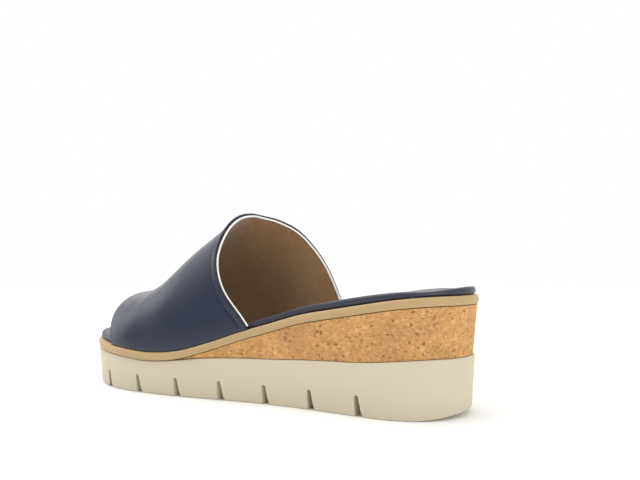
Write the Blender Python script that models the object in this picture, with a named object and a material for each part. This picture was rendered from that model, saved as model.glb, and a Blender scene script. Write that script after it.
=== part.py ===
"""A left women's wedge mule, standing on its sole.

Six pieces: a slotted platform outsole, a cork wedge, a welt board, a padded insole, a vamp that is open
at the toe and at the back, and the piping round its collar. Units are metres. +Z is up, the toe points
to +Y, and the outer side of the foot is at -X. The origin is on the floor, under the middle of the shoe.
"""
import math
from collections import namedtuple

import bmesh
import bpy
import numpy as np

# Plan of the platform's top edge, from its centre line
SOLE_LENGTH = 0.2466
HEEL_OUTER_HALF = 0.0327
HEEL_INNER_HALF = 0.0319
BALL_OUTER_HALF = 0.0447
BALL_INNER_HALF = 0.0412

# Heights of the stack
PLATFORM_HEEL_HEIGHT = 0.0287
PLATFORM_BALL_HEIGHT = 0.0184
CORK_HEEL_HEIGHT = 0.0245
WELT_HEIGHT = 0.0045
INSOLE_HEIGHT = 0.0037

# Outsole
SIDE_DRAFT = 0.0017
PLATFORM_LIP = 0.0007
FOOT_CHAMFER = 0.0008
HEEL_LIFT = 0.0034
TOE_SPRING = 0.0040
SLOT_PITCH = 0.02665
SLOT_FIRST = 0.0462
SLOT_COUNT = 7
SLOT_HEIGHT = 0.0103
SLOT_TOP_WIDTH = 0.0022
SLOT_FOOT_WIDTH = 0.0046
SLOT_CORNER = 0.0030
SLOT_DEPTH = 0.0060
SLOT_CROWN_SHARE = 0.15
GROOVE_DEPTH = 0.0014

# Cork, welt and insole
CORK_INSET = 0.0010
CORK_END_HEIGHT = 0.00075
WELT_OVER_CORK = 0.0008
WELT_REACH = 0.0021
WELT_EDGE = 0.0011
INSOLE_HEEL_INSET = 0.0015
INSOLE_EDGE = 0.0014
INSOLE_DISH = 0.0016
DISH_FADE_POWER = 0.5

# Upper and piping
LEDGE = 0.0009
WALL = 0.0020
INSTEP_RISE = 0.0735
HEM_WIDTH = 0.0018
HEM_STEP = 0.0005
HEM_SLOPE = 0.0008
LIP = 0.0010
LIP_FLARE = 0.0009
PIPING_RADIUS = 0.00064
PIPING_SEAT = 0.28
PIPING_CLEAR = 0.0011

# Clearance between pieces that meet
GAP = 0.0003

# Roundness of the outline's ends, as shares of the length, and the powers of their curves
HEEL_ROUND = 0.16
TOE_ROUND_OUTER = 0.24
TOE_ROUND_INNER = 0.19
HEEL_POWER = 2.05
TOE_POWER_OUTER = 2.1
TOE_POWER_INNER = 2.4
HEEL_LIFT_SHARE = 0.09
TOE_SPRING_SHARE = 0.20

# Mesh density
STATIONS = 40
AROUND = 44
ALONG = 15
PIPING_SIDES = 8
INSOLE_COLUMNS = 8
SHARP_ANGLE = 40
NUDGE = 1e-4

# One row for each section of the sole, from heel to toe. The columns are shares:
# along, of the length; outer and inner, of the way from the heel's half width to the ball's;
# platform, of the way from the height at the ball to the height at the heel; cork, of its height
# at the heel; welt, of its reach; under, of the way from the insole's heel inset to its vamp inset;
# pad, of the insole's height.
Section = namedtuple("Section", "along outer inner platform cork welt under pad")
SECTIONS = [
    Section(0.00, -0.08, -0.10, 1.00, 1.000, 1.00, 0.00, 1.05),
    Section(0.05, -0.05, -0.06, 0.98, 0.992, 0.95, 0.00, 0.62),
    Section(0.10, -0.02, -0.02, 0.90, 0.978, 0.88, 0.02, 0.80),
    Section(0.19, 0.00, 0.00, 0.71, 0.915, 0.75, 0.15, 1.00),
    Section(0.25, -0.02, -0.06, 0.66, 0.832, 0.70, 0.50, 1.00),
    Section(0.31, -0.03, -0.15, 0.60, 0.750, 0.65, 0.95, 1.00),
    Section(0.40, 0.07, -0.22, 0.49, 0.540, 0.60, 1.00, 1.00),
    Section(0.46, 0.22, -0.06, 0.45, 0.380, 0.57, 1.00, 1.00),
    Section(0.51, 0.40, 0.20, 0.40, 0.226, 0.55, 1.00, 1.00),
    Section(0.56, 0.59, 0.50, 0.32, 0.098, 0.53, 1.00, 1.00),
    Section(0.60, 0.74, 0.72, 0.21, 0.028, 0.52, 1.00, 1.00),
    Section(0.66, 0.90, 0.94, 0.05, 0.000, 0.50, 1.00, 1.00),
    Section(0.71, 0.98, 1.00, 0.00, 0.000, 0.48, 1.00, 1.00),
    Section(0.77, 1.00, 1.00, 0.09, 0.000, 0.46, 1.00, 1.00),
    Section(0.87, 0.83, 0.90, 0.24, 0.000, 0.35, 1.00, 1.00),
    Section(0.93, 0.60, 0.80, 0.31, 0.000, 0.25, 0.10, 1.00),
    Section(1.00, 0.35, 0.65, 0.36, 0.000, 0.20, 0.00, 1.00),
]

# The vamp's sections: rise is a share of INSTEP_RISE above the welt, shift moves the ridge towards
# the inner side, as a share of the ball's inner half width, and power sets how full its shoulders are.
VampSection = namedtuple("VampSection", "along rise shift power")
VAMP_SECTIONS = [
    VampSection(0.34, 1.267, 0.14, 2.05),
    VampSection(0.43, 1.172, 0.14, 2.05),
    VampSection(0.50, 1.090, 0.14, 2.05),
    VampSection(0.556, 1.004, 0.13, 2.05),
    VampSection(0.60, 0.932, 0.11, 2.06),
    VampSection(0.652, 0.834, 0.09, 2.08),
    VampSection(0.704, 0.687, 0.07, 2.10),
    VampSection(0.75, 0.557, 0.06, 2.12),
    VampSection(0.79, 0.472, 0.05, 2.15),
    VampSection(0.83, 0.427, 0.05, 2.15),
    VampSection(0.88, 0.392, 0.05, 2.15),
    VampSection(0.92, 0.357, 0.05, 2.15),
]

# The vamp's two open edges: around goes from the outer foot of the wall over the ridge to the inner
# foot, and collar and toe are shares of the length.
VampEdge = namedtuple("VampEdge", "around collar toe")
VAMP_EDGES = [
    VampEdge(0.00, 0.4470, 0.829),
    VampEdge(0.10, 0.5135, 0.847),
    VampEdge(0.20, 0.5485, 0.864),
    VampEdge(0.30, 0.5588, 0.874),
    VampEdge(0.40, 0.5628, 0.879),
    VampEdge(0.50, 0.5620, 0.881),
    VampEdge(0.60, 0.5490, 0.881),
    VampEdge(0.70, 0.5113, 0.878),
    VampEdge(0.80, 0.4550, 0.873),
    VampEdge(0.90, 0.3990, 0.867),
    VampEdge(1.00, 0.3550, 0.859),
]

# The rounded corner low on a slot's heel side: flare is a share of the slot's widening, and rise of
# the corner's height.
SlotCorner = namedtuple("SlotCorner", "flare rise")
SLOT_CORNER_ROWS = [
    SlotCorner(0.55, 1.00),
    SlotCorner(0.80, 0.40),
]

# The edges of welt and insole from bottom to top: inset is a share of the edge's rounding, and up of
# the piece's height.
EdgeRow = namedtuple("EdgeRow", "inset up")
WELT_ROWS = [
    EdgeRow(0.5, 0.00),
    EdgeRow(0.0, 0.15),
    EdgeRow(0.1, 0.76),
    EdgeRow(0.4, 0.93),
    EdgeRow(1.0, 1.00),
]
INSOLE_ROWS = [
    EdgeRow(0.3, 0.00),
    EdgeRow(0.0, 0.20),
    EdgeRow(0.0, 0.62),
    EdgeRow(0.3, 0.88),
    EdgeRow(1.0, 1.00),
]

Finish = namedtuple("Finish", "colour roughness metallic")
FINISHES = {
    "outsole": Finish((0.70, 0.65, 0.51), 0.60, 0.0),
    "cork_wedge": Finish((0.63, 0.38, 0.16), 0.75, 0.0),
    "welt": Finish((0.52, 0.38, 0.24), 0.50, 0.0),
    "insole": Finish((0.030, 0.035, 0.075), 0.45, 0.0),
    "upper": Finish((0.022, 0.030, 0.070), 0.35, 0.0),
    "collar_piping": Finish((0.95, 0.94, 0.90), 0.40, 0.0),
}


def smooth(rows, column, along):
    """Value of a table's column at a place along its first column, on a curve through the rows."""
    knots = np.array([row[0] for row in rows])
    values = np.array([getattr(row, column) for row in rows])
    slopes = np.gradient(values, knots)
    place = np.clip(along, knots[0], knots[-1])
    i = np.clip(np.searchsorted(knots, place, side="right") - 1, 0, len(knots) - 2)
    step = knots[i + 1] - knots[i]
    s = (place - knots[i]) / step
    rise = values[i + 1] - values[i]
    cubic = (slopes[i] + slopes[i + 1]) * step - 2 * rise
    square = 3 * rise - (2 * slopes[i] + slopes[i + 1]) * step
    return values[i] + s * (slopes[i] * step + s * (square + s * cubic))


def share(y):
    """Share of the length at a distance from the heel's back."""
    return np.clip(y / SOLE_LENGTH, 0.0, 1.0)


def section(column, y):
    return smooth(SECTIONS, column, share(y))


def between(low, high, mix):
    return low + (high - low) * mix


def platform_top(y):
    return between(PLATFORM_BALL_HEIGHT, PLATFORM_HEEL_HEIGHT, section("platform", y))


def cork_space(y):
    """Height between platform and welt that the cork fills, beyond the one gap they keep elsewhere."""
    return np.maximum(CORK_HEEL_HEIGHT * section("cork", y), 0.0)


def welt_bottom(y):
    return platform_top(y) + GAP + cork_space(y)


def welt_top(y):
    return welt_bottom(y) + WELT_HEIGHT


def floor_height(y):
    """Height of the sole's underside, which lifts at the heel's back and at the toe."""
    t = share(y)
    heel = HEEL_LIFT * np.maximum(1 - t / HEEL_LIFT_SHARE, 0.0) ** 2
    toe = TOE_SPRING * np.maximum(1 - (1 - t) / TOE_SPRING_SHARE, 0.0) ** 2
    return heel + toe


def rounding(t, toe_round, toe_power):
    """How far an outline has closed in at its two ends, from 0 at the tip to 1 along the side."""
    heel = np.clip(1 - t / HEEL_ROUND, 0.0, 1.0)
    toe = np.clip((t - 1 + toe_round) / toe_round, 0.0, 1.0)
    return (1 - heel ** HEEL_POWER) ** (1 / HEEL_POWER) * (1 - toe ** toe_power) ** (1 / toe_power)


def outline(reach, end=1.0):
    """Plan outline, offset outwards by reach(y): heel, outer side, toe, then inner side.

    An end below 1 stops it at that share of the length, with a straight front.
    """
    turn = math.pi if end == 1.0 else math.pi / 2
    t = end * (1 - np.cos(turn * np.arange(STATIONS + 1) / STATIONS)) / (1 - math.cos(turn))
    y = t * SOLE_LENGTH
    outer = between(HEEL_OUTER_HALF, BALL_OUTER_HALF, section("outer", y))
    inner = between(HEEL_INNER_HALF, BALL_INNER_HALF, section("inner", y))
    left = np.stack([-outer * rounding(t, TOE_ROUND_OUTER, TOE_POWER_OUTER), y], axis=1)
    right = np.stack([inner * rounding(t, TOE_ROUND_INNER, TOE_POWER_INNER), y], axis=1)
    after_left = right[-2] if end == 1.0 else 2 * left[-1] - left[-2]
    after_right = left[-2] if end == 1.0 else 2 * right[-1] - right[-2]
    left_normal = normals(np.vstack([right[1], left, after_left]))
    right_normal = -normals(np.vstack([left[1], right, after_right]))
    offset = np.broadcast_to(reach(y), y.shape)[:, None]
    left = left + left_normal * offset
    right = right + right_normal * offset
    if end < 1.0:
        left[-1, 1] = end * SOLE_LENGTH
        right[-1, 1] = end * SOLE_LENGTH
        return np.concatenate([left, right[:0:-1]])
    return np.concatenate([left, right[-2:0:-1]])


def normals(line):
    """Unit normals to the left of a line's inner points."""
    tangent = line[2:] - line[:-2]
    tangent = tangent / np.linalg.norm(tangent, axis=1)[:, None]
    return np.stack([-tangent[:, 1], tangent[:, 0]], axis=1)


def ring(reach, height, end=1.0):
    """Outline in space, with height(y) as its third coordinate."""
    plan = outline(reach, end)
    return np.column_stack([plan, height(plan[:, 1])])


def side_x(reach, y):
    """The offset outline's two x values at a distance from the heel's back, outer then inner."""
    plan = outline(reach)
    left = plan[: STATIONS + 1]
    right = np.vstack([plan[:1], plan[:STATIONS - 1:-1]])
    return np.interp(y, left[:, 1], left[:, 0]), np.interp(y, right[:, 1], right[:, 0])


def welt_reach(y):
    return WELT_REACH * section("welt", y)


def insole_reach(y):
    inset = between(INSOLE_HEEL_INSET, LEDGE + WALL + GAP, section("under", y))
    return welt_reach(y) - inset


def finish(name, verts, faces):
    """One closed, smooth-shaded object with its own material."""
    mesh = bpy.data.meshes.new(name)
    mesh.from_pydata([tuple(v) for v in verts], [], faces)
    work = bmesh.new()
    work.from_mesh(mesh)
    bmesh.ops.recalc_face_normals(work, faces=work.faces)
    work.to_mesh(mesh)
    work.free()
    mesh.shade_smooth()
    mesh.set_sharp_from_angle(angle=math.radians(SHARP_ANGLE))
    item = bpy.data.objects.new(name, mesh)
    bpy.context.collection.objects.link(item)
    if name in FINISHES:
        mesh.materials.append(material(name))
    return item


def material(name):
    look = FINISHES[name]
    result = bpy.data.materials.new(name)
    result.use_nodes = True
    shader = result.node_tree.nodes["Principled BSDF"]
    shader.inputs["Base Color"].default_value = (*look.colour, 1.0)
    shader.inputs["Roughness"].default_value = look.roughness
    shader.inputs["Metallic"].default_value = look.metallic
    return result


def cap(verts, start, size, columns, sag):
    """Faces that close a ring by strips from side to side, lowered by sag(y, across) inside."""
    rows = []
    for k in range(STATIONS + 1):
        left = start + k
        right = start + (size - k) % size
        if left == right:
            rows.append([left])
            continue
        row = [left]
        for c in range(1, columns):
            across = c / columns
            point = between(verts[left], verts[right], across)
            verts.append(point - np.array([0.0, 0.0, sag(point[1], across)]))
            row.append(len(verts) - 1)
        rows.append(row + [right])
    faces = []
    for low, high in zip(rows, rows[1:]):
        for c in range(columns):
            corners = [low[min(c, len(low) - 1)], low[min(c + 1, len(low) - 1)]]
            corners += [high[min(c + 1, len(high) - 1)], high[min(c, len(high) - 1)]]
            faces.append(list(dict.fromkeys(corners)))
    return faces


def level(y, across):
    """No sag: the strip stays straight from side to side."""
    return 0.0


def stack_of_rings(name, rings, top_columns=1, sag=level):
    """Closed solid through outline rings, bottom to top, with a cap at each end."""
    size = len(rings[0])
    verts = [point for one in rings for point in one]
    faces = []
    for r in range(len(rings) - 1):
        for k in range(size):
            a = r * size + k
            b = r * size + (k + 1) % size
            faces.append([a, b, b + size, a + size])
    faces += cap(verts, 0, size, 1, level)
    faces += cap(verts, (len(rings) - 1) * size, size, top_columns, sag)
    return finish(name, verts, faces)


def slot_profile(height):
    """Slot seen from the side: upright wall to the toe, sloping wall and round corner to the heel."""
    top = SLOT_TOP_WIDTH
    crown = SLOT_CROWN_SHARE * top
    shoulder = min(SLOT_CORNER, height / 2)
    points = [
        (0.0, -GROOVE_DEPTH),
        (0.0, height - top / 2),
        (-crown, height - crown),
        (-top / 2, height),
        (crown - top, height - crown),
        (-top, height - top / 2),
    ]
    for row in SLOT_CORNER_ROWS:
        points.append((-between(top, SLOT_FOOT_WIDTH, row.flare), shoulder * row.rise))
    return points + [(-SLOT_FOOT_WIDTH, 0.0), (-SLOT_FOOT_WIDTH, -GROOVE_DEPTH)]


def slot_cutter():
    """All slots as one cutter: deep at the two sides, and a shallow groove between them."""
    verts = []
    faces = []
    reach = 2 * max(BALL_OUTER_HALF, BALL_INNER_HALF)
    for i in range(SLOT_COUNT):
        front = SLOT_FIRST + i * SLOT_PITCH + SLOT_TOP_WIDTH
        lift = float(floor_height(front))
        left, right = side_x(lambda y: -SIDE_DRAFT - SLOT_DEPTH, front)
        stops = [
            (-reach, SLOT_HEIGHT),
            (float(left), SLOT_HEIGHT),
            (float(left) + SLOT_CORNER, GROOVE_DEPTH),
            (float(right) - SLOT_CORNER, GROOVE_DEPTH),
            (float(right), SLOT_HEIGHT),
            (reach, SLOT_HEIGHT),
        ]
        start = len(verts)
        for x, height in stops:
            verts += [(x, front + y, lift + z) for y, z in slot_profile(height)]
        size = len(slot_profile(SLOT_HEIGHT))
        for s in range(len(stops) - 1):
            for p in range(size):
                a = start + s * size + p
                b = start + s * size + (p + 1) % size
                faces.append([a, b, b + size, a + size])
        faces.append([start + p for p in range(size)])
        faces.append([start + (len(stops) - 1) * size + p for p in range(size)])
    cutter = finish("slot_cutter", verts, faces)
    cutter.hide_render = True
    cutter.display_type = "WIRE"
    return cutter


def outsole():
    rings = [
        ring(lambda y: -SIDE_DRAFT - FOOT_CHAMFER, floor_height),
        ring(lambda y: -SIDE_DRAFT, lambda y: floor_height(y) + FOOT_CHAMFER),
        ring(lambda y: 0.0, lambda y: platform_top(y) - PLATFORM_LIP),
        ring(lambda y: -PLATFORM_LIP, platform_top),
    ]
    item = stack_of_rings("outsole", rings)
    cut = item.modifiers.new("slots", "BOOLEAN")
    cut.operation = "DIFFERENCE"
    cut.solver = "EXACT"
    cut.object = slot_cutter()
    return item


def cork_front():
    """Distance from the heel's back to the cork's front edge, where it has thinned to a sliver."""
    y = np.arange(0.0, SOLE_LENGTH, NUDGE)
    return y[np.argmax(cork_space(y) < CORK_END_HEIGHT)]


def cork_wedge():
    """Flared wedge between platform and welt, from the heel's back to its thin front edge."""
    end = cork_front() / SOLE_LENGTH
    rings = [
        ring(lambda y: -CORK_INSET, lambda y: platform_top(y) + GAP, end),
        ring(lambda y: welt_reach(y) - WELT_OVER_CORK, lambda y: welt_bottom(y) - GAP, end),
    ]
    return stack_of_rings("cork_wedge", rings)


def edge_rings(rows, reach, rounded, bottom, height):
    """Rings of a flat piece with a shaped edge, one for each row of its table."""
    def one(row):
        return ring(lambda y: reach(y) - rounded * row.inset, lambda y: bottom(y) + height(y) * row.up)
    return [one(row) for row in rows]


def welt():
    """Board under the insole, whose rounded edge stands a little proud of the cork all round."""
    return stack_of_rings("welt", edge_rings(WELT_ROWS, welt_reach, WELT_EDGE, welt_bottom, welt_height))


def welt_height(y):
    return WELT_HEIGHT


def insole_bottom(y):
    return welt_top(y) + GAP


def insole_height(y):
    return INSOLE_HEIGHT * section("pad", y)


def insole_sag(y, across):
    """Dish of the insole's top, which fades towards the heel's back and the toe."""
    fade = math.sin(math.pi * share(y)) ** DISH_FADE_POWER
    return INSOLE_DISH * fade * (1 - (2 * across - 1) ** 2)


def insole():
    """Padded insole with a soft edge and a slightly dished top, inside the foot of the vamp."""
    rings = edge_rings(INSOLE_ROWS, insole_reach, INSOLE_EDGE, insole_bottom, insole_height)
    return stack_of_rings("insole", rings, INSOLE_COLUMNS, insole_sag)


def vamp_foot(y):
    """Outer and inner x of the vamp's foot on the welt."""
    return side_x(lambda place: welt_reach(place) - LEDGE, y)


def vamp_point(around, y, feet):
    """Point of the vamp's outer surface: around runs from the outer foot over the ridge to the inner."""
    outer, inner = feet
    ridge = BALL_INNER_HALF * smooth(VAMP_SECTIONS, "shift", share(y))
    rise = INSTEP_RISE * smooth(VAMP_SECTIONS, "rise", share(y))
    power = smooth(VAMP_SECTIONS, "power", share(y))
    angle = math.pi * around
    swing = np.abs(np.cos(angle)) ** (2 / power)
    reach = np.where(around < 0.5, outer - ridge, inner - ridge)
    height = np.abs(np.sin(angle)) ** (2 / power)
    return np.stack([ridge + reach * swing, y, welt_top(y) + GAP + rise * height], axis=-1)


def vamp_surface(around, y):
    """Points and outward unit normals of the vamp's outer surface over two grids."""
    points = vamp_point(around, y, vamp_foot(y))
    ahead = vamp_point(around, y + NUDGE, vamp_foot(y + NUDGE))
    back = vamp_point(around, y - NUDGE, vamp_foot(y - NUDGE))
    low = np.clip(around - NUDGE, 0.0, 1.0)
    high = np.clip(around + NUDGE, 0.0, 1.0)
    feet = vamp_foot(y)
    over = vamp_point(high, y, feet) - vamp_point(low, y, feet)
    normal = np.cross(over, ahead - back)
    normal[..., 2] = np.where((around == 0.0) | (around == 1.0), 0.0, normal[..., 2])
    return points, normal / np.linalg.norm(normal, axis=-1)[..., None]


def collar_line(around):
    """The collar's distance from the heel's back, and how slanted it is on the vamp."""
    collar = smooth(VAMP_EDGES, "collar", around) * SOLE_LENGTH
    edge, _ = vamp_surface(around, collar)
    run = np.linalg.norm(np.gradient(np.delete(edge, 1, axis=1), axis=0), axis=1)
    return collar, np.sqrt(1 + (np.gradient(collar) / run) ** 2)


def collar_corners(around):
    """Outer and inner edge of the wall's slanted end at the collar."""
    collar, slant = collar_line(around)
    outer, outer_normal = vamp_surface(around, collar - LIP * slant)
    inner, inner_normal = vamp_surface(around, collar)
    return outer + outer_normal * LIP_FLARE, inner - inner_normal * WALL


def vamp_rows():
    """Grids of around, y, lip and step, one row for each station from collar to toe opening.

    Lip is how far the outer skin reaches back beyond the inner one, and step how far it stands out.
    """
    around = np.linspace(0.0, 1.0, AROUND + 1)
    collar, slant = collar_line(around)
    toe = smooth(VAMP_EDGES, "toe", around) * SOLE_LENGTH
    hem = collar + HEM_WIDTH * slant
    body = collar + (HEM_WIDTH + HEM_SLOPE) * slant
    rows = [collar, collar + LIP * slant, hem]
    steps = [np.full_like(collar, step) for step in (LIP_FLARE, HEM_STEP, HEM_STEP)]
    for i in range(ALONG + 1):
        rows.append(between(body, toe, i / ALONG))
        steps.append(np.zeros_like(collar))
    y = np.array(rows)
    lip = np.zeros_like(y)
    lip[0] = LIP * slant
    return np.broadcast_to(around, y.shape), y, lip, np.array(steps)


def upper():
    """Vamp as one hollow solid: outer and inner skins joined at collar, toe opening and feet."""
    around, y, lip, step = vamp_rows()
    outer, outer_normal = vamp_surface(around, y - lip)
    inner, inner_normal = vamp_surface(around, y)
    outside = outer + outer_normal * step[..., None]
    inside = inner - inner_normal * WALL
    for foot in (0, -1):
        outside[:, foot, 2] = outer[:, foot, 2]
        inside[:, foot, 2] = inner[:, foot, 2]
    rows, columns = y.shape
    verts = np.concatenate([outside.reshape(-1, 3), inside.reshape(-1, 3)])
    grid = np.arange(rows * columns).reshape(rows, columns)
    back = grid + rows * columns
    faces = []
    for r in range(rows - 1):
        for c in range(columns - 1):
            faces.append([grid[r, c], grid[r, c + 1], grid[r + 1, c + 1], grid[r + 1, c]])
            faces.append([back[r, c], back[r + 1, c], back[r + 1, c + 1], back[r, c + 1]])
        for c in (0, columns - 1):
            faces.append([grid[r, c], grid[r + 1, c], back[r + 1, c], back[r, c]])
    for r in (0, rows - 1):
        for c in range(columns - 1):
            faces.append([grid[r, c], back[r, c], back[r, c + 1], grid[r, c + 1]])
    return finish("upper", verts, [[int(i) for i in face] for face in faces])


def collar_piping():
    """Round bead along the wall's end, from one foot of the vamp to the other."""
    around = np.linspace(0.0, 1.0, 2 * AROUND + 1)
    outer, inner = collar_corners(around)
    seat = between(inner, outer, PIPING_SEAT)
    along = np.gradient(seat, axis=0)
    away = np.cross(along, outer - inner)
    away /= -np.sign(away[:, 1:2]) * np.linalg.norm(away, axis=1)[:, None]
    path = seat + away * (PIPING_RADIUS + GAP)
    keep = path[:, 2] > welt_top(path[:, 1]) + GAP + PIPING_CLEAR
    return tube("collar_piping", path[keep], (outer - inner)[keep], PIPING_RADIUS, PIPING_SIDES)


def tube(name, path, up, radius, sides):
    """Closed round tube along a path, with flat ends."""
    tangent = np.gradient(path, axis=0)
    tangent /= np.linalg.norm(tangent, axis=1)[:, None]
    side = np.cross(tangent, up)
    side /= np.linalg.norm(side, axis=1)[:, None]
    rise = np.cross(side, tangent)
    verts = []
    for centre, s, r in zip(path, side, rise):
        for k in range(sides):
            angle = 2 * math.pi * k / sides
            verts.append(centre + radius * (math.cos(angle) * s + math.sin(angle) * r))
    faces = [list(range(sides)), list(range(len(verts) - sides, len(verts)))]
    for i in range(len(path) - 1):
        for k in range(sides):
            a = i * sides + k
            b = i * sides + (k + 1) % sides
            faces.append([a, b, b + sides, a + sides])
    return finish(name, verts, faces)


def centre_on_floor(items):
    """Moves every piece so that the shoe's box is centred on the origin in plan."""
    shoe = [item for item in items if item.display_type != "WIRE"]
    corners = np.array([v.co for item in shoe for v in item.data.vertices])
    middle = (corners.min(axis=0) + corners.max(axis=0)) / 2
    for item in items:
        item.location = (-middle[0], -middle[1], 0.0)


def build():
    for item in list(bpy.data.objects):
        bpy.data.objects.remove(item)
    pieces = [outsole(), cork_wedge(), welt(), insole(), upper(), collar_piping()]
    centre_on_floor(pieces + [bpy.data.objects["slot_cutter"]])


if __name__ == "__main__":
    build()
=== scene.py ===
"""Look of a left women's wedge mule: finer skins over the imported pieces, materials, light and camera.

Units are metres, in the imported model's frame: +Z up, +Y to the toe, -X to the foot's outer side.
"""
import math
from collections import namedtuple

import bmesh
import bpy
import numpy as np
from mathutils import Matrix, Vector


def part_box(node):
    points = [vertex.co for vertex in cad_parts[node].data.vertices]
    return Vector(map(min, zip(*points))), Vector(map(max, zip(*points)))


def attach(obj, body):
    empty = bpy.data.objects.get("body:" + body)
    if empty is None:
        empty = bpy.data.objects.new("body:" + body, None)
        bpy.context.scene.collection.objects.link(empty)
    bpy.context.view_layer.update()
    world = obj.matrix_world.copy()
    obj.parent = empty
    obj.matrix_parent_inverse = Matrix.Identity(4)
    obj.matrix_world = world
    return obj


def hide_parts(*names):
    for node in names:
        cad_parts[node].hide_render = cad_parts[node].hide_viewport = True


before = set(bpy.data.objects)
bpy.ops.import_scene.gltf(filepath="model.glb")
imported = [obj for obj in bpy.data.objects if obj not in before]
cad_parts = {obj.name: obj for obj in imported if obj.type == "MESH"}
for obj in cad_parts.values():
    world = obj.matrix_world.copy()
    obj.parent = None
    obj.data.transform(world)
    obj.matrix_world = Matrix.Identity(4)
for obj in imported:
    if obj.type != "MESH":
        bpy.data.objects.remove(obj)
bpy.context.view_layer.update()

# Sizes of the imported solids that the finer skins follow
SOLE_LENGTH = 0.2466
HEEL_OUTER_HALF = 0.0327
HEEL_INNER_HALF = 0.0319
BALL_OUTER_HALF = 0.0447
BALL_INNER_HALF = 0.0412
PLATFORM_HEEL_HEIGHT = 0.0287
PLATFORM_BALL_HEIGHT = 0.0184
CORK_HEEL_HEIGHT = 0.0245
WELT_HEIGHT = 0.0045
INSOLE_HEIGHT = 0.0037
SIDE_DRAFT = 0.0017
PLATFORM_LIP = 0.0007
FOOT_CHAMFER = 0.0008
HEEL_LIFT = 0.0034
TOE_SPRING = 0.0040
SLOT_PITCH = 0.02665
SLOT_FIRST = 0.0462
SLOT_COUNT = 7
SLOT_HEIGHT = 0.0103
SLOT_TOP_WIDTH = 0.0022
SLOT_FOOT_WIDTH = 0.0046
SLOT_CORNER = 0.0030
SLOT_DEPTH = 0.0060
SLOT_CROWN_SHARE = 0.15
GROOVE_DEPTH = 0.0014
CORK_INSET = 0.0010
CORK_END_HEIGHT = 0.00075
WELT_OVER_CORK = 0.0008
WELT_REACH = 0.0021
WELT_EDGE = 0.0011
INSOLE_HEEL_INSET = 0.0015
INSOLE_EDGE = 0.0014
INSOLE_DISH = 0.0016
DISH_FADE_POWER = 0.5
LEDGE = 0.0009
WALL = 0.0020
INSTEP_RISE = 0.0735
HEM_WIDTH = 0.0018
HEM_STEP = 0.0005
LIP = 0.0010
LIP_FLARE = 0.0009
PIPING_RADIUS = 0.00064
PIPING_SEAT = 0.28
PIPING_CLEAR = 0.0011
GAP = 0.0003
HEEL_ROUND = 0.16
TOE_ROUND_OUTER = 0.24
TOE_ROUND_INNER = 0.19
HEEL_POWER = 2.05
TOE_POWER_OUTER = 2.1
TOE_POWER_INNER = 2.4
HEEL_LIFT_SHARE = 0.09
TOE_SPRING_SHARE = 0.20

# Sizes that only the look has
SKIN = 0.0014
LINING_GAP = 0.00005
HEM_SLOPE = 0.0004
TUCK_HEIGHT = 0.0012
TUCK_DEPTH = 0.0005
TOE_EDGE = 0.0011
PAD_CROWN = 0.0005
BEAD_GAP_SHARE = 0.1
STATIONS = 110
AROUND = 150
ALONG = 90
PIPING_SIDES = 16
PAD_COLUMNS = 30
SHARP_ANGLE = 40
NUDGE = 1e-4
EDGE_CROWDING = 0.35
TOE_ROUNDING = 0.0004

# Textures: how many cells, grains or ribs there are to a metre, and how high the bump stands
LEATHER_PEBBLE = 1500
LEATHER_PORES = 3200
LEATHER_CLOUD = 70
LEATHER_RELIEF = 0.00025
LEATHER_GRAIN = 0.10
SUEDE_NAP = 2600
SUEDE_CLOUD = 260
SUEDE_RELIEF = 0.0003
CORK_GRAINS = 1050
CORK_FLECKS = 760
CORK_CLOUD = 60
CORK_RELIEF = 0.0004
FOAM_PORES = 1400
FOAM_RELIEF = 0.0003
FOAM_EDGE = 0.0005
TREAD_RIBS = 110
TREAD_RELIEF = 0.0008

WHITE = (1.0, 1.0, 1.0, 1.0)
BLACK = (0.0, 0.0, 0.0, 1.0)

# The photo's camera, fitted to the sole's edges and slots: place in metres, turn in degrees
CAMERA_PLACE = (-0.2956, -0.2117, 0.0732)
CAMERA_TURN = (92.157, 0.0, -59.533)
CAMERA_LENS = 34.875
CAMERA_SENSOR = 36.0
CAMERA_NEAR = 0.01

# The surround is brightest towards one direction. Low and high each hold how near to it a direction
# points, and how bright the surround is there.
DOME_BRIGHT_SIDE = (0.55, 0.34, 0.72)
DOME_LOW = (-0.35, 0.30)
DOME_HIGH = (0.90, 1.40)
FLOOR_HALF = 6.0
FLOOR_WHITE = (0.95, 0.95, 0.95, 1.0)

# Square lamps: their middles, what they point at, their sides in metres and their power in watts
Lamp = namedtuple("Lamp", "name place target side power")
LAMPS = [
    Lamp("top_softbox", (-0.15, 0.25, 0.95), (0.0, 0.0, 0.05), 0.6, 3.4),
    Lamp("side_softbox", (-0.50, -0.95, 0.45), (0.0, 0.0, 0.05), 0.6, 3.2),
    Lamp("toe_softbox", (-0.22, 0.95, 0.32), (0.0, 0.08, 0.03), 0.5, 1.0),
]

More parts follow.
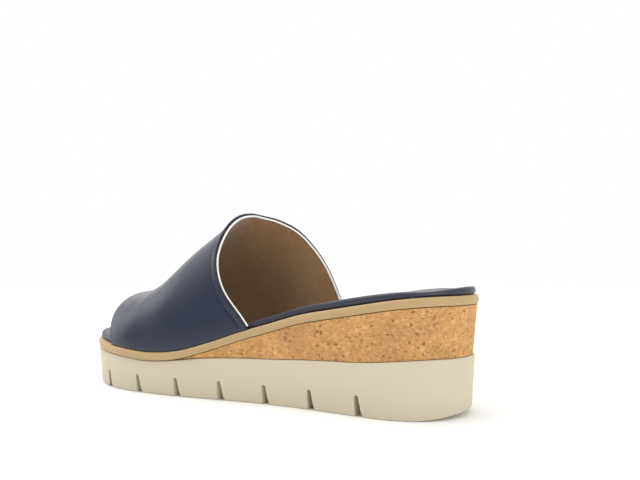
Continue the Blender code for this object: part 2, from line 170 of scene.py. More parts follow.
# One row for each section of the sole, from heel to toe, with shares of the sizes above
Section = namedtuple("Section", "along outer inner platform cork welt under pad")
SECTIONS = [
    Section(0.00, -0.08, -0.10, 1.00, 1.000, 1.00, 0.00, 1.05),
    Section(0.05, -0.05, -0.06, 0.98, 0.992, 0.95, 0.00, 0.62),
    Section(0.10, -0.02, -0.02, 0.90, 0.978, 0.88, 0.02, 0.80),
    Section(0.19, 0.00, 0.00, 0.71, 0.915, 0.75, 0.15, 1.00),
    Section(0.25, -0.02, -0.06, 0.66, 0.832, 0.70, 0.50, 1.00),
    Section(0.31, -0.03, -0.15, 0.60, 0.750, 0.65, 0.95, 1.00),
    Section(0.40, 0.07, -0.22, 0.49, 0.540, 0.60, 1.00, 1.00),
    Section(0.46, 0.22, -0.06, 0.45, 0.380, 0.57, 1.00, 1.00),
    Section(0.51, 0.40, 0.20, 0.40, 0.226, 0.55, 1.00, 1.00),
    Section(0.56, 0.59, 0.50, 0.32, 0.098, 0.53, 1.00, 1.00),
    Section(0.60, 0.74, 0.72, 0.21, 0.028, 0.52, 1.00, 1.00),
    Section(0.66, 0.90, 0.94, 0.05, 0.000, 0.50, 1.00, 1.00),
    Section(0.71, 0.98, 1.00, 0.00, 0.000, 0.48, 1.00, 1.00),
    Section(0.77, 1.00, 1.00, 0.09, 0.000, 0.46, 1.00, 1.00),
    Section(0.87, 0.83, 0.90, 0.24, 0.000, 0.35, 1.00, 1.00),
    Section(0.93, 0.60, 0.80, 0.31, 0.000, 0.25, 0.10, 1.00),
    Section(1.00, 0.35, 0.65, 0.36, 0.000, 0.20, 0.00, 1.00),
]

# The vamp's sections: rise above the welt, shift of the ridge to the inner side, fullness of the shoulders
VampSection = namedtuple("VampSection", "along rise shift power")
VAMP_SECTIONS = [
    VampSection(0.34, 1.267, 0.14, 2.05),
    VampSection(0.43, 1.172, 0.14, 2.05),
    VampSection(0.50, 1.090, 0.14, 2.05),
    VampSection(0.556, 1.004, 0.13, 2.05),
    VampSection(0.60, 0.932, 0.11, 2.06),
    VampSection(0.652, 0.834, 0.09, 2.08),
    VampSection(0.704, 0.687, 0.07, 2.10),
    VampSection(0.75, 0.557, 0.06, 2.12),
    VampSection(0.79, 0.472, 0.05, 2.15),
    VampSection(0.83, 0.427, 0.05, 2.15),
    VampSection(0.88, 0.392, 0.05, 2.15),
    VampSection(0.92, 0.357, 0.05, 2.15),
]

# The vamp's two open edges, from the outer foot of the wall over the ridge to the inner foot
VampEdge = namedtuple("VampEdge", "around collar toe")
VAMP_EDGES = [
    VampEdge(0.00, 0.4470, 0.829),
    VampEdge(0.10, 0.5135, 0.847),
    VampEdge(0.20, 0.5485, 0.864),
    VampEdge(0.30, 0.5588, 0.874),
    VampEdge(0.40, 0.5628, 0.879),
    VampEdge(0.50, 0.5620, 0.881),
    VampEdge(0.60, 0.5490, 0.881),
    VampEdge(0.70, 0.5113, 0.878),
    VampEdge(0.80, 0.4550, 0.873),
    VampEdge(0.90, 0.3990, 0.867),
    VampEdge(1.00, 0.3550, 0.859),
]

# Soft troughs and ridges of the vamp where the foot bends: along and around are the middle's place on
# the vamp, slant turns the line, and width, length and depth are metres; a ridge has a negative depth.
Crease = namedtuple("Crease", "along around slant width length depth")
CREASES = [
    Crease(0.742, 0.50, 0.10, 0.0060, 0.040, 0.00030),
    Crease(0.700, 0.44, 0.16, 0.0080, 0.036, -0.00020),
    Crease(0.775, 0.34, -0.20, 0.0050, 0.022, 0.00022),
    Crease(0.765, 0.68, 0.22, 0.0050, 0.024, 0.00022),
]

# The hem from the lip at the collar's edge to the plain leather: back is the distance in from the
# lining's edge, out how far the leather stands out, and inner how deep its inner side lies.
HemRow = namedtuple("HemRow", "back out inner")
HEM_ROWS = [
    HemRow(-LIP, LIP_FLARE - 0.0002, 0.0002),
    HemRow(-LIP + 0.0001, LIP_FLARE, 0.0004),
    HemRow(-LIP * 0.5, LIP_FLARE, 0.0007),
    HemRow(0.0000, LIP_FLARE * 0.85, SKIN),
    HemRow(LIP, HEM_STEP, SKIN),
    HemRow(HEM_WIDTH * 0.65, HEM_STEP, SKIN),
    HemRow(HEM_WIDTH - 0.0003, HEM_STEP * 0.95, SKIN),
    HemRow(HEM_WIDTH, HEM_STEP * 0.7, SKIN),
    HemRow(HEM_WIDTH + HEM_SLOPE * 0.6, -0.00020, SKIN),
    HemRow(HEM_WIDTH + HEM_SLOPE, -0.00015, SKIN),
    HemRow(HEM_WIDTH + HEM_SLOPE * 2.5, 0.0, SKIN),
]

# How many strips of the vamp at the collar and at the toe opening are painted darker, as painted shadow
# along the edges
HEM_SHADOW_ROWS = 3
TOE_SHADOW_ROWS = 3

# The heel side of a slot, down to its rounded corner: flare is the way from the top's width to the
# foot's, and rise a share of the corner's height
SlotCorner = namedtuple("SlotCorner", "flare rise")
SLOT_CORNER_ROWS = [
    SlotCorner(0.45, 1.10),
    SlotCorner(0.60, 0.70),
    SlotCorner(0.78, 0.30),
    SlotCorner(0.90, 0.10),
]

# The edges of welt and pad from bottom to top: inset is a share of the edge's rounding, and up of the
# piece's height
EdgeRow = namedtuple("EdgeRow", "inset up")
WELT_ROWS = [
    EdgeRow(1.0, 0.00),
    EdgeRow(0.55, 0.06),
    EdgeRow(0.25, 0.16),
    EdgeRow(0.06, 0.30),
    EdgeRow(0.0, 0.44),
    EdgeRow(0.04, 0.58),
    EdgeRow(0.18, 0.73),
    EdgeRow(0.40, 0.86),
    EdgeRow(0.70, 0.95),
    EdgeRow(1.0, 1.00),
]
PAD_ROWS = [
    EdgeRow(0.8, 0.00),
    EdgeRow(0.3, 0.08),
    EdgeRow(0.0, 0.25),
    EdgeRow(0.0, 0.50),
    EdgeRow(0.10, 0.70),
    EdgeRow(0.30, 0.85),
    EdgeRow(0.60, 0.95),
    EdgeRow(1.0, 1.00),
    EdgeRow(1.7, 1.02),
]


def smooth(rows, column, along):
    """Value of a table's column at a place along its first column, on a curve through the rows."""
    knots = np.array([row[0] for row in rows])
    values = np.array([getattr(row, column) for row in rows])
    slopes = np.gradient(values, knots)
    place = np.clip(along, knots[0], knots[-1])
    i = np.clip(np.searchsorted(knots, place, side="right") - 1, 0, len(knots) - 2)
    step = knots[i + 1] - knots[i]
    s = (place - knots[i]) / step
    rise = values[i + 1] - values[i]
    cubic = (slopes[i] + slopes[i + 1]) * step - 2 * rise
    square = 3 * rise - (2 * slopes[i] + slopes[i + 1]) * step
    return values[i] + s * (slopes[i] * step + s * (square + s * cubic))


def share(y):
    """Share of the length at a distance from the heel's back."""
    return np.clip(y / SOLE_LENGTH, 0.0, 1.0)


def section(column, y):
    return smooth(SECTIONS, column, share(y))


def between(low, high, mix):
    return low + (high - low) * mix


def platform_top(y):
    return between(PLATFORM_BALL_HEIGHT, PLATFORM_HEEL_HEIGHT, section("platform", y))


def cork_space(y):
    """Height between platform and welt beyond their one gap elsewhere, for the cork and its second gap."""
    return np.maximum(CORK_HEEL_HEIGHT * section("cork", y), 0.0)


def welt_bottom(y):
    return platform_top(y) + GAP + cork_space(y)


def welt_top(y):
    return welt_bottom(y) + WELT_HEIGHT


def floor_height(y):
    """Height of the sole's underside, which lifts at the heel's back and at the toe."""
    t = share(y)
    heel = HEEL_LIFT * np.maximum(1 - t / HEEL_LIFT_SHARE, 0.0) ** 2
    toe = TOE_SPRING * np.maximum(1 - (1 - t) / TOE_SPRING_SHARE, 0.0) ** 2
    return heel + toe


def rounding(t, toe_round, toe_power):
    """Share of its full width that an outline has near its ends: 0 at the tip, 1 along the side."""
    heel = np.clip(1 - t / HEEL_ROUND, 0.0, 1.0)
    toe = np.clip((t - 1 + toe_round) / toe_round, 0.0, 1.0)
    return (1 - heel ** HEEL_POWER) ** (1 / HEEL_POWER) * (1 - toe ** toe_power) ** (1 / toe_power)


def normals(line):
    """Unit normals to the left of a line's inner points."""
    tangent = line[2:] - line[:-2]
    tangent = tangent / np.linalg.norm(tangent, axis=1)[:, None]
    return np.stack([-tangent[:, 1], tangent[:, 0]], axis=1)


def outline(reach, end=1.0):
    """Plan outline, offset outwards by reach(y) and cut off at end: heel, outer side, toe, inner side."""
    turn = math.pi if end == 1.0 else math.pi / 2
    t = end * (1 - np.cos(turn * np.arange(STATIONS + 1) / STATIONS)) / (1 - math.cos(turn))
    y = t * SOLE_LENGTH
    outer = between(HEEL_OUTER_HALF, BALL_OUTER_HALF, section("outer", y))
    inner = between(HEEL_INNER_HALF, BALL_INNER_HALF, section("inner", y))
    left = np.stack([-outer * rounding(t, TOE_ROUND_OUTER, TOE_POWER_OUTER), y], axis=1)
    right = np.stack([inner * rounding(t, TOE_ROUND_INNER, TOE_POWER_INNER), y], axis=1)
    after_left = right[-2] if end == 1.0 else 2 * left[-1] - left[-2]
    after_right = left[-2] if end == 1.0 else 2 * right[-1] - right[-2]
    left_normal = normals(np.vstack([right[1], left, after_left]))
    right_normal = -normals(np.vstack([left[1], right, after_right]))
    offset = np.broadcast_to(reach(y), y.shape)[:, None]
    left = left + left_normal * offset
    right = right + right_normal * offset
    if end < 1.0:
        left[-1, 1] = end * SOLE_LENGTH
        right[-1, 1] = end * SOLE_LENGTH
        return np.concatenate([left, right[:0:-1]])
    return np.concatenate([left, right[-2:0:-1]])


def ring(reach, height, end=1.0):
    """Outline in space, with height(y) as its third coordinate."""
    plan = outline(reach, end)
    return np.column_stack([plan, height(plan[:, 1])])


def side_x(reach, y):
    """The offset outline's two x values at a distance from the heel's back, outer then inner."""
    plan = outline(reach)
    left = plan[: STATIONS + 1]
    right = np.vstack([plan[:1], plan[:STATIONS - 1:-1]])
    return np.interp(y, left[:, 1], left[:, 0]), np.interp(y, right[:, 1], right[:, 0])


def welt_reach(y):
    return WELT_REACH * section("welt", y)


def insole_reach(y):
    inset = between(INSOLE_HEEL_INSET, LEDGE + WALL + GAP, section("under", y))
    return welt_reach(y) - inset


def finish(name, verts, faces, looks, look_of=None):
    """One closed, smooth-shaded object; look_of gives each face's place in the list of materials."""
    mesh = bpy.data.meshes.new(name)
    mesh.from_pydata([tuple(float(c) for c in v) for v in verts], [], faces)
    if look_of is not None:
        mesh.polygons.foreach_set("material_index", look_of)
    work = bmesh.new()
    work.from_mesh(mesh)
    bmesh.ops.recalc_face_normals(work, faces=work.faces)
    work.to_mesh(mesh)
    work.free()
    mesh.shade_smooth()
    mesh.set_sharp_from_angle(angle=math.radians(SHARP_ANGLE))
    for look in looks:
        mesh.materials.append(look)
    item = bpy.data.objects.new(name, mesh)
    bpy.context.collection.objects.link(item)
    return item


def cap(verts, start, size, columns, sag):
    """Faces that close a ring by strips from side to side, lowered by sag(y, across) inside."""
    rows = []
    for k in range(STATIONS + 1):
        left = start + k
        right = start + (size - k) % size
        if left == right:
            rows.append([left])
            continue
        row = [left]
        for c in range(1, columns):
            across = c / columns
            point = between(verts[left], verts[right], across)
            verts.append(point - np.array([0.0, 0.0, sag(point[1], across)]))
            row.append(len(verts) - 1)
        rows.append(row + [right])
    faces = []
    for low, high in zip(rows, rows[1:]):
        for c in range(columns):
            corners = [low[min(c, len(low) - 1)], low[min(c + 1, len(low) - 1)]]
            corners += [high[min(c + 1, len(high) - 1)], high[min(c, len(high) - 1)]]
            faces.append(list(dict.fromkeys(corners)))
    return faces


def level(y, across):
    """No sag: the strip stays straight from side to side."""
    return 0.0


def stack_of_rings(name, rings, looks, top_columns=1, sag=level):
    """Closed solid through outline rings, bottom to top, with a cap at each end."""
    size = len(rings[0])
    verts = [point for one in rings for point in one]
    faces = []
    for r in range(len(rings) - 1):
        for k in range(size):
            a = r * size + k
            b = r * size + (k + 1) % size
            faces.append([a, b, b + size, a + size])
    faces += cap(verts, 0, size, 1, level)
    faces += cap(verts, (len(rings) - 1) * size, size, top_columns, sag)
    return finish(name, verts, faces, looks)


def slot_profile(height):
    """Slot seen from the side: upright wall to the toe, sloping wall and round corner to the heel."""
    top = SLOT_TOP_WIDTH
    crown = SLOT_CROWN_SHARE * top
    shoulder = min(SLOT_CORNER, height / 2)
    points = [
        (0.0, -GROOVE_DEPTH),
        (0.0, height - top / 2),
        (-crown, height - crown),
        (-top / 2, height),
        (crown - top, height - crown),
        (-top, height - top / 2),
    ]
    for row in SLOT_CORNER_ROWS:
        points.append((-between(top, SLOT_FOOT_WIDTH, row.flare), shoulder * row.rise))
    return points + [(-SLOT_FOOT_WIDTH, 0.0), (-SLOT_FOOT_WIDTH, -GROOVE_DEPTH)]


def slot_cutter():
    """All slots as one cutter: deep at the two sides, and a shallow groove between them."""
    verts = []
    faces = []
    reach = 2 * max(BALL_OUTER_HALF, BALL_INNER_HALF)
    for i in range(SLOT_COUNT):
        front = SLOT_FIRST + i * SLOT_PITCH + SLOT_TOP_WIDTH
        lift = float(floor_height(front))
        left, right = side_x(lambda y: -SIDE_DRAFT - SLOT_DEPTH, front)
        stops = [
            (-reach, SLOT_HEIGHT),
            (float(left), SLOT_HEIGHT),
            (float(left) + SLOT_CORNER, GROOVE_DEPTH),
            (float(right) - SLOT_CORNER, GROOVE_DEPTH),
            (float(right), SLOT_HEIGHT),
            (reach, SLOT_HEIGHT),
        ]
        start = len(verts)
        for x, height in stops:
            verts += [(x, front + y, lift + z) for y, z in slot_profile(height)]
        size = len(slot_profile(SLOT_HEIGHT))
        for s in range(len(stops) - 1):
            for p in range(size):
                a = start + s * size + p
                b = start + s * size + (p + 1) % size
                faces.append([a, b, b + size, a + size])
        faces.append([start + p for p in range(size)])
        faces.append([start + (len(stops) - 1) * size + p for p in range(size)])
    return finish("slot_cutter", verts, faces, [])


def cut(item, cutter):
    """Cuts one object out of another for good, and removes the cutter."""
    step = item.modifiers.new("cut", "BOOLEAN")
    step.operation = "DIFFERENCE"
    step.solver = "EXACT"
    step.object = cutter
    graph = bpy.context.evaluated_depsgraph_get()
    mesh = bpy.data.meshes.new_from_object(item.evaluated_get(graph))
    item.modifiers.clear()
    item.data = mesh
    mesh.set_sharp_from_angle(angle=math.radians(SHARP_ANGLE))
    bpy.data.objects.remove(cutter)


def outsole(looks):
    """Slotted platform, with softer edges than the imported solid's."""
    rings = [
        ring(lambda y: -SIDE_DRAFT - FOOT_CHAMFER, floor_height),
        ring(lambda y: -SIDE_DRAFT - FOOT_CHAMFER * 0.4, lambda y: floor_height(y) + FOOT_CHAMFER * 0.25),
        ring(lambda y: -SIDE_DRAFT, lambda y: floor_height(y) + FOOT_CHAMFER),
        ring(lambda y: 0.0, lambda y: platform_top(y) - PLATFORM_LIP),
        ring(lambda y: -PLATFORM_LIP * 0.35, lambda y: platform_top(y) - PLATFORM_LIP * 0.3),
        ring(lambda y: -PLATFORM_LIP, platform_top),
    ]
    item = stack_of_rings("platform", rings, looks)
    cut(item, slot_cutter())
    return item


def cork_front():
    """Distance from the heel's back to the cork's front edge, where it has thinned to a sliver."""
    y = np.arange(0.0, SOLE_LENGTH, NUDGE)
    return y[np.argmax(cork_space(y) < CORK_END_HEIGHT)]


def cork_wedge(looks):
    """Flared wedge between platform and welt, from the heel's back to its thin front edge."""
    end = cork_front() / SOLE_LENGTH
    rings = [
        ring(lambda y: -CORK_INSET, lambda y: platform_top(y) + GAP, end),
        ring(lambda y: welt_reach(y) - WELT_OVER_CORK, lambda y: welt_bottom(y) - GAP, end),
    ]
    return stack_of_rings("wedge", rings, looks)


def edge_rings(rows, reach, rounded, bottom, height):
    """Rings of a flat piece with a shaped edge, one for each row of its table."""
    def one(row):
        return ring(lambda y: reach(y) - rounded * row.inset, lambda y: bottom(y) + height(y) * row.up)
    return [one(row) for row in rows]


def welt_height(y):
    return WELT_HEIGHT


def insole_bottom(y):
    return welt_top(y) + GAP


def insole_height(y):
    return INSOLE_HEIGHT * section("pad", y)


def pad_sag(y, across):
    """The pad swells just inside its edge, and is dished in the middle."""
    fade = math.sin(math.pi * share(y)) ** DISH_FADE_POWER
    middle = 1 - (2 * across - 1) ** 2
    return fade * (INSOLE_DISH * middle - PAD_CROWN * math.sin(math.pi * min(middle * 2, 1.0)))


def vamp_foot(y):
    """Outer and inner x of the vamp's foot on the welt."""
    return side_x(lambda place: welt_reach(place) - LEDGE, y)


def vamp_point(around, y, feet):
    """Point of the vamp's outer surface: around runs from the outer foot over the ridge to the inner."""
    outer, inner = feet
    ridge = BALL_INNER_HALF * smooth(VAMP_SECTIONS, "shift", share(y))
    rise = INSTEP_RISE * smooth(VAMP_SECTIONS, "rise", share(y))
    power = smooth(VAMP_SECTIONS, "power", share(y))
    angle = math.pi * around
    swing = np.abs(np.cos(angle)) ** (2 / power)
    reach = np.where(around < 0.5, outer - ridge, inner - ridge)
    height = np.abs(np.sin(angle)) ** (2 / power)
    return np.stack([ridge + reach * swing, y, welt_top(y) + GAP + rise * height], axis=-1)


def vamp_surface(around, y):
    """Points and outward unit normals of the vamp's outer surface over two grids."""
    feet = vamp_foot(y)
    points = vamp_point(around, y, feet)
    ahead = vamp_point(around, y + NUDGE, vamp_foot(y + NUDGE))
    back = vamp_point(around, y - NUDGE, vamp_foot(y - NUDGE))
    low = np.clip(around - NUDGE, 0.0, 1.0)
    high = np.clip(around + NUDGE, 0.0, 1.0)
    over = vamp_point(high, y, feet) - vamp_point(low, y, feet)
    normal = np.cross(over, ahead - back)
    normal[..., 2] = np.where((around == 0.0) | (around == 1.0), 0.0, normal[..., 2])
    return points, normal / np.linalg.norm(normal, axis=-1)[..., None]


def collar_line(around):
    """The collar's distance from the heel's back, and how slanted it is on the vamp."""
    collar = smooth(VAMP_EDGES, "collar", around) * SOLE_LENGTH
    edge, _ = vamp_surface(around, collar)
    run = np.linalg.norm(np.gradient(np.delete(edge, 1, axis=1), axis=0), axis=1)
    return collar, np.sqrt(1 + (np.gradient(collar) / run) ** 2)


def collar_corners(around):
    """Outer and inner edge of the wall's slanted end at the collar."""
    collar, slant = collar_line(around)
    outer, outer_normal = vamp_surface(around, collar - LIP * slant)
    inner, inner_normal = vamp_surface(around, collar)
    return outer + outer_normal * LIP_FLARE, inner - inner_normal * WALL


def crease_depth(points, around):
    """How far the creases push the leather in."""
    depth = np.zeros(around.shape)
    for c in CREASES:
        middle, _ = vamp_surface(np.array([c.around]), np.array([c.along * SOLE_LENGTH]))
        away = points - middle[0]
        across = away[..., 1] - c.slant * away[..., 0]
        side = np.sign(around - c.around) * np.linalg.norm(away[..., [0, 2]], axis=-1)
        depth += c.depth * np.exp(-(across / c.width) ** 2 - (side / c.length) ** 2)
    return depth


def shell(name, y, around, outside, inside, looks, look_of_row):
    """Closed sheet between an outer and an inner skin over the same grid."""
    rows, columns = y.shape
    verts = np.concatenate([outside.reshape(-1, 3), inside.reshape(-1, 3)])
    grid = np.arange(rows * columns).reshape(rows, columns).tolist()
    size = rows * columns
    faces = []
    look_of = []
    for r in range(rows - 1):
        for c in range(columns - 1):
            a, b, d, e = grid[r][c], grid[r][c + 1], grid[r + 1][c + 1], grid[r + 1][c]
            faces.append([a, b, d, e])
            faces.append([a + size, e + size, d + size, b + size])
            look_of += [look_of_row(r)] * 2
        for c in (0, columns - 1):
            a, b = grid[r][c], grid[r + 1][c]
            faces.append([a, b, b + size, a + size])
            look_of.append(look_of_row(r))
    for r in (0, rows - 1):
        for c in range(columns - 1):
            a, b = grid[r][c], grid[r][c + 1]
            faces.append([a, a + size, b + size, b])
            look_of.append(look_of_row(r))
    return finish(name, verts, faces, looks, look_of)


def tuck(points, around, y):
    """How far the leather turns in just above the welt."""
    low = np.clip(1 - (points[..., 2] - welt_top(y) - GAP) / TUCK_HEIGHT, 0.0, 1.0)
    return TUCK_DEPTH * low ** 2


def vamp(looks):
    """Leather skin with its raised hem, soft creases, turned-in foot, and painted shadow in darker strips
    along its collar and toe edges.
    """
    line = np.linspace(0.0, 1.0, AROUND + 1)
    line = between(line, (1 - np.cos(math.pi * line)) / 2, EDGE_CROWDING)
    collar, slant = collar_line(line)
    toe = smooth(VAMP_EDGES, "toe", line) * SOLE_LENGTH
    body = collar + HEM_ROWS[-1].back * slant
    edge = toe - TOE_EDGE
    rows = [collar + row.back * slant for row in HEM_ROWS]
    step = [row.out for row in HEM_ROWS]
    for i in range(1, ALONG + 1):
        rows.append(between(body, edge, i / ALONG))
        step.append(0.0)
    rows += [between(edge, toe, 0.5), toe - TOE_ROUNDING / 4, toe]
    step += [0.0, -TOE_ROUNDING / 4, -TOE_ROUNDING]
    y = np.array(rows)
    around = np.broadcast_to(line, y.shape)
    points, normal = vamp_surface(around, y)
    lift = np.array(step)[:, None] - crease_depth(points, around) - tuck(points, around, y)
    outside = points + normal * lift[..., None]
    under, under_normal = vamp_surface(around, np.maximum(y, collar))
    depth = np.array([row.inner for row in HEM_ROWS] + [SKIN] * (len(rows) - len(HEM_ROWS)))
    inside = np.where(y[..., None] < collar[:, None], points, under) - under_normal * depth[:, None, None]
    for skin in (outside, inside):
        skin[:, [0, -1], 2] = points[:, [0, -1], 2]

    # The strips at the collar and at the toe opening take the darker navy: painted shadow along the edges.
    def look_of_row(r):
        return 1 if r < HEM_SHADOW_ROWS or r >= len(rows) - 1 - TOE_SHADOW_ROWS else 0
    return shell("vamp", y, around, outside, inside, looks, look_of_row)


def lining(looks):
    """Thin soft sheet against the vamp's inner side, from the collar to the toe opening."""
    line = np.linspace(0.0, 1.0, AROUND + 1)
    collar, _ = collar_line(line)
    toe = smooth(VAMP_EDGES, "toe", line) * SOLE_LENGTH
    y = np.array([between(collar, toe - TOE_EDGE / 2, i / ALONG) for i in range(ALONG + 1)])
    around = np.broadcast_to(line, y.shape)
    points, normal = vamp_surface(around, y)
    outside = points - normal * (SKIN + LINING_GAP)
    inside = points - normal * WALL
    for skin in (outside, inside):
        skin[:, [0, -1], 2] = points[:, [0, -1], 2]
    return shell("lining", y, around, outside, inside, looks, lambda r: 0)


def piping(looks):
    """Round bead along the wall's end, from one foot of the vamp to the other."""
    around = np.linspace(0.0, 1.0, 3 * AROUND + 1)
    outer, inner = collar_corners(around)
    seat = between(inner, outer, PIPING_SEAT)
    along = np.gradient(seat, axis=0)
    away = np.cross(along, outer - inner)
    away /= -np.sign(away[:, 1:2]) * np.linalg.norm(away, axis=1)[:, None]
    path = seat + away * (PIPING_RADIUS + GAP * BEAD_GAP_SHARE)
    keep = path[:, 2] > welt_top(path[:, 1]) + GAP + PIPING_CLEAR
    return tube("piping", path[keep], (outer - inner)[keep], PIPING_RADIUS, PIPING_SIDES, looks)


def tube(name, path, up, radius, sides, looks):
    """Closed round tube along a path, with flat ends."""
    tangent = np.gradient(path, axis=0)
    tangent /= np.linalg.norm(tangent, axis=1)[:, None]
    side = np.cross(tangent, up)
    side /= np.linalg.norm(side, axis=1)[:, None]
    rise = np.cross(side, tangent)
    verts = []
    for centre, s, r in zip(path, side, rise):
        for k in range(sides):
            angle = 2 * math.pi * k / sides
            verts.append(centre + radius * (math.cos(angle) * s + math.sin(angle) * r))
    faces = [list(range(sides)), list(range(len(verts) - sides, len(verts)))]
    for i in range(len(path) - 1):
        for k in range(sides):
            a = i * sides + k
            b = i * sides + (k + 1) % sides
            faces.append([a, b, b + sides, a + sides])
    return finish(name, verts, faces, looks)


def linear(red, green, blue):
    """Linear colour from 0 to 255 screen values."""
    def one(value):
        c = value / 255
        return c / 12.92 if c <= 0.04045 else ((c + 0.055) / 1.055) ** 2.4
    return (one(red), one(green), one(blue), 1.0)


class Look:
    """A material and its node tree, with short calls that add and join nodes."""

    def __init__(self, name, colour, roughness, **sockets):
        self.material = bpy.data.materials.new(name)
        self.material.use_nodes = True
        self.nodes = self.material.node_tree.nodes
        self.links = self.material.node_tree.links
        self.shader = self.nodes["Principled BSDF"]
        self.shader.inputs["Base Color"].default_value = colour
        self.shader.inputs["Roughness"].default_value = roughness
        for socket, value in sockets.items():
            self.shader.inputs[socket.replace("_", " ")].default_value = value

    def node(self, kind, values=None, links=None, **settings):
        """Node with set values and linked sockets."""
        made = self.nodes.new(kind)
        for key, value in settings.items():
            setattr(made, key, value)
        for socket, value in (values or {}).items():
            made.inputs[socket].default_value = value
        for socket, source in (links or {}).items():
            self.links.new(source, made.inputs[socket])
        return made

    def place(self, scale):
        """Object coordinates stretched by a scale along each axis."""
        where = self.node("ShaderNodeTexCoord").outputs["Object"]
        return self.node("ShaderNodeMapping", {"Scale": scale}, {"Vector": where}).outputs[0]

    def noise(self, scale, place=None, detail=2.0):
        place = place or self.place((1, 1, 1))
        values = {"Scale": scale, "Detail": detail}
        return self.node("ShaderNodeTexNoise", values, {"Vector": place}).outputs["Fac"]

    def cells(self, scale, place=None, output="Distance"):
        place = place or self.place((1, 1, 1))
        return self.node("ShaderNodeTexVoronoi", {"Scale": scale}, {"Vector": place}).outputs[output]

    def ramp(self, source, *stops):
        """Colour ramp through (place, colour) stops."""
        made = self.node("ShaderNodeValToRGB", None, {"Fac": source})
        ends = made.color_ramp.elements
        while len(ends) < len(stops):
            ends.new(0.5)
        for end, (place, colour) in zip(ends, stops):
            end.position = place
            end.color = colour
        return made.outputs["Color"]

    def mix(self, factor, first, second, blend="MIX"):
        """Blend of two colours; 0, 6 and 7 are the places of the node's factor and colour inputs."""
        made = self.node("ShaderNodeMix", data_type="RGBA", blend_type=blend)
        for place, value in ((0, factor), (6, first), (7, second)):
            self.feed(made.inputs[place], value)
        return made.outputs[2]

    def maths(self, operation, first, second=0.0):
        made = self.node("ShaderNodeMath", operation=operation)
        for place, value in enumerate((first, second)):
            self.feed(made.inputs[place], value)
        return made.outputs[0]

    def feed(self, target, value):
        """Links an input to another node's output, or sets its value."""
        if isinstance(value, bpy.types.NodeSocket):
            self.links.new(value, target)
        else:
            target.default_value = value

    def bump(self, height, strength, distance, normal=None):
        values = {"Strength": strength, "Distance": distance}
        links = {"Height": height}
        if normal is not None:
            links["Normal"] = normal
        return self.node("ShaderNodeBump", values, links).outputs["Normal"]

    def use(self, socket, source):
        self.links.new(source, self.shader.inputs[socket])


def leather(name, colour, roughness, **sockets):
    """Smooth finished leather: fine pebble grain and a slightly uneven sheen."""
    look = Look(name, colour, roughness, **sockets)
    pebble = look.maths("MULTIPLY", look.cells(LEATHER_PEBBLE), 0.7)
    pores = look.maths("MULTIPLY", look.noise(LEATHER_PORES, detail=3.0), 0.5)
    look.use("Normal", look.bump(look.maths("ADD", pebble, pores), LEATHER_GRAIN, LEATHER_RELIEF))
    glossy = (*[roughness - 0.05] * 3, 1.0)
    dull = (*[roughness + 0.06] * 3, 1.0)
    cloud = look.noise(LEATHER_CLOUD, detail=3.0)
    look.use("Roughness", look.ramp(cloud, (0.3, glossy), (0.7, dull)))
    return look.material


def suede(name, colour):
    """Soft napped lining, a little uneven in tone."""
    look = Look(name, colour, 0.95, Sheen_Weight=0.35, Sheen_Roughness=0.5)
    look.use("Normal", look.bump(look.noise(SUEDE_NAP, detail=4.0), 0.30, SUEDE_RELIEF))
    darker = (*[c * 0.93 for c in colour[:3]], 1.0)
    lighter = (*[c * 1.05 for c in colour[:3]], 1.0)
    cloud = look.noise(SUEDE_CLOUD, detail=4.0)
    look.use("Base Color", look.ramp(cloud, (0.35, darker), (0.65, lighter)))
    return look.material


def cork(name):
    """Pressed granules: uneven light and dark grains, with dark flecks drawn out along the wedge."""
    look = Look(name, linear(208, 162, 103), 0.78)
    stretched = look.place((1.0, 0.60, 0.85))
    grains = look.cells(CORK_GRAINS, stretched, "Color")
    tone = look.node("ShaderNodeSeparateColor", None, {"Color": grains}).outputs[0]
    base = look.ramp(
        tone,
        (0.00, linear(194, 142, 82)),
        (0.30, linear(205, 154, 91)),
        (0.80, linear(211, 161, 98)),
        (1.00, linear(222, 177, 118)),
    )
    flecks = look.noise(CORK_FLECKS, look.place((1.0, 0.62, 1.0)), detail=1.5)
    mask = look.ramp(flecks, (0.615, BLACK), (0.69, WHITE))
    flecked = look.mix(mask, base, linear(142, 99, 52))
    cloud = look.ramp(look.noise(CORK_CLOUD), (0.35, linear(235, 235, 235)), (0.65, WHITE))
    look.use("Base Color", look.mix(1.0, flecked, cloud, "MULTIPLY"))
    height = look.maths("SUBTRACT", look.cells(CORK_GRAINS, stretched), mask)
    look.use("Normal", look.bump(height, 0.35, CORK_RELIEF))
    return look.material


def foam(name):
    """Matte moulded sole foam, softened edges, with a ribbed tread on what faces the floor."""
    look = Look(name, linear(208, 199, 174), 0.62, Specular_IOR_Level=0.3)
    soft = look.node("ShaderNodeBevel", {"Radius": FOAM_EDGE}, samples=6).outputs["Normal"]
    normal = look.node("ShaderNodeNewGeometry").outputs["Normal"]
    facing = look.node("ShaderNodeSeparateXYZ", None, {"Vector": normal}).outputs["Z"]
    under = look.maths("LESS_THAN", facing, -0.9)
    values = {"Scale": TREAD_RIBS}
    links = {"Vector": look.place((0.5, 1.0, 1.0))}
    ribs = look.node("ShaderNodeTexWave", values, links, bands_direction="DIAGONAL")
    ribbed = look.bump(look.maths("MULTIPLY", ribs.outputs["Fac"], under), 0.8, TREAD_RELIEF, soft)
    look.use("Normal", look.bump(look.noise(FOAM_PORES, detail=3.0), 0.06, FOAM_RELIEF, ribbed))
    return look.material


def stage():
    """White floor of a product photo."""
    mesh = bpy.data.meshes.new("floor")
    corners = [(-1, -1), (1, -1), (1, 1), (-1, 1)]
    mesh.from_pydata([(x * FLOOR_HALF, y * FLOOR_HALF, 0.0) for x, y in corners], [], [[0, 1, 2, 3]])
    floor = bpy.data.objects.new("floor", mesh)
    bpy.context.collection.objects.link(floor)
    mesh.materials.append(Look("floor_white", FLOOR_WHITE, 0.9).material)


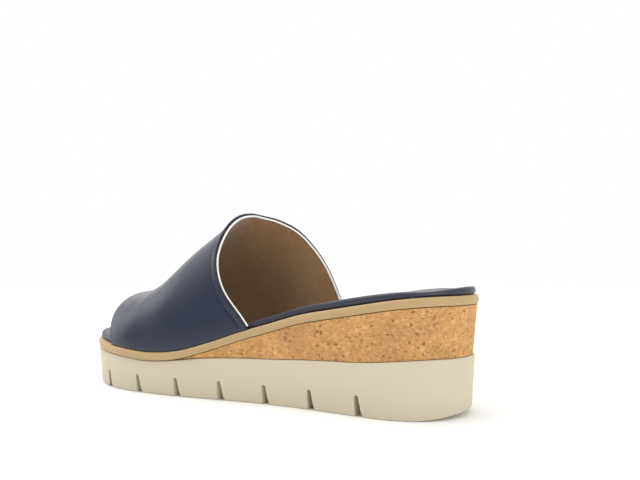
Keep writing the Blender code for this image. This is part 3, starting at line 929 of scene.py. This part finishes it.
def surround():
    """Soft light from all round, seen as plain white behind the shoe."""
    world = bpy.data.worlds.new("surround")
    world.use_nodes = True
    nodes = world.node_tree.nodes
    links = world.node_tree.links
    towards = nodes.new("ShaderNodeTexCoord")
    facing = nodes.new("ShaderNodeVectorMath")
    facing.operation = "DOT_PRODUCT"
    facing.inputs[1].default_value = DOME_BRIGHT_SIDE
    dome = nodes.new("ShaderNodeMapRange")
    for end, (near, bright) in {"Min": DOME_LOW, "Max": DOME_HIGH}.items():
        dome.inputs["From " + end].default_value = near
        dome.inputs["To " + end].default_value = bright
    rays = nodes.new("ShaderNodeLightPath")
    seen = nodes.new("ShaderNodeMix")
    seen.inputs["B"].default_value = 1.0
    links.new(towards.outputs["Generated"], facing.inputs[0])
    links.new(facing.outputs["Value"], dome.inputs["Value"])
    links.new(rays.outputs["Is Camera Ray"], seen.inputs["Factor"])
    links.new(dome.outputs["Result"], seen.inputs["A"])
    nodes["Background"].inputs["Color"].default_value = WHITE
    links.new(seen.outputs["Result"], nodes["Background"].inputs["Strength"])
    bpy.context.scene.world = world


def add_lamp(lamp):
    """Square soft light at its place, turned to its target."""
    data = bpy.data.lights.new(lamp.name, "AREA")
    data.shape = "SQUARE"
    data.size = lamp.side
    data.energy = lamp.power
    item = bpy.data.objects.new(lamp.name, data)
    bpy.context.collection.objects.link(item)
    item.location = lamp.place
    towards = Vector(lamp.target) - Vector(lamp.place)
    item.rotation_euler = towards.to_track_quat("-Z", "Y").to_euler()


def camera():
    """The photo's view, from behind and the outer side, just above the insole."""
    data = bpy.data.cameras.new("camera")
    data.sensor_width = CAMERA_SENSOR
    data.lens = CAMERA_LENS
    data.clip_start = CAMERA_NEAR
    item = bpy.data.objects.new("camera", data)
    bpy.context.collection.objects.link(item)
    item.location = CAMERA_PLACE
    item.rotation_euler = [math.radians(turn) for turn in CAMERA_TURN]
    bpy.context.scene.camera = item


def seat(items, guide, node):
    """Moves the finer skins, all by the same step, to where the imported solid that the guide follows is."""
    low = np.array(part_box(node)[0])
    high = np.array(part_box(node)[1])
    points = np.array([v.co for v in guide.data.vertices])
    move = (low + high) / 2 - (points.min(axis=0) + points.max(axis=0)) / 2
    for item in items:
        item.data.transform(Matrix.Translation((move[0], move[1], 0.0)))


def build():
    """All pieces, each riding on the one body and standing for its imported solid; the lining is extra."""
    skin = leather("navy_leather", linear(34, 41, 60), 0.33, Specular_IOR_Level=0.45)
    # Darker navy for the strips along the vamp's collar and toe edges: painted shadow.
    edge = leather("navy_painted_edge_shadow", linear(16, 19, 36), 0.55)
    padding = leather("navy_insole_leather", linear(46, 48, 62), 0.40)
    tan = leather("tan_leather", linear(185, 156, 111), 0.50)
    white = leather("white_leather", linear(252, 249, 240), 0.40)
    pad_rings = edge_rings(PAD_ROWS, insole_reach, INSOLE_EDGE, insole_bottom, insole_height)
    welt_rings = edge_rings(WELT_ROWS, welt_reach, WELT_EDGE, welt_bottom, welt_height)
    made = {
        "outsole": outsole([foam("sole_foam")]),
        "cork_wedge": cork_wedge([cork("cork")]),
        "welt": stack_of_rings("welt_strip", welt_rings, [tan]),
        "insole": stack_of_rings("footbed", pad_rings, [padding], PAD_COLUMNS, pad_sag),
        "upper": vamp([skin, edge]),
        "collar_piping": piping([white]),
    }
    inside = lining([suede("microsuede", linear(162, 123, 81))])
    seat([*made.values(), inside], made["outsole"], "outsole")
    for node, item in made.items():
        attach(item, "root")
        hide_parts(node)
    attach(inside, "root")


camera()
stage()
surround()
for each in LAMPS:
    add_lamp(each)
build()
bpy.context.scene.view_settings.view_transform = "Standard"
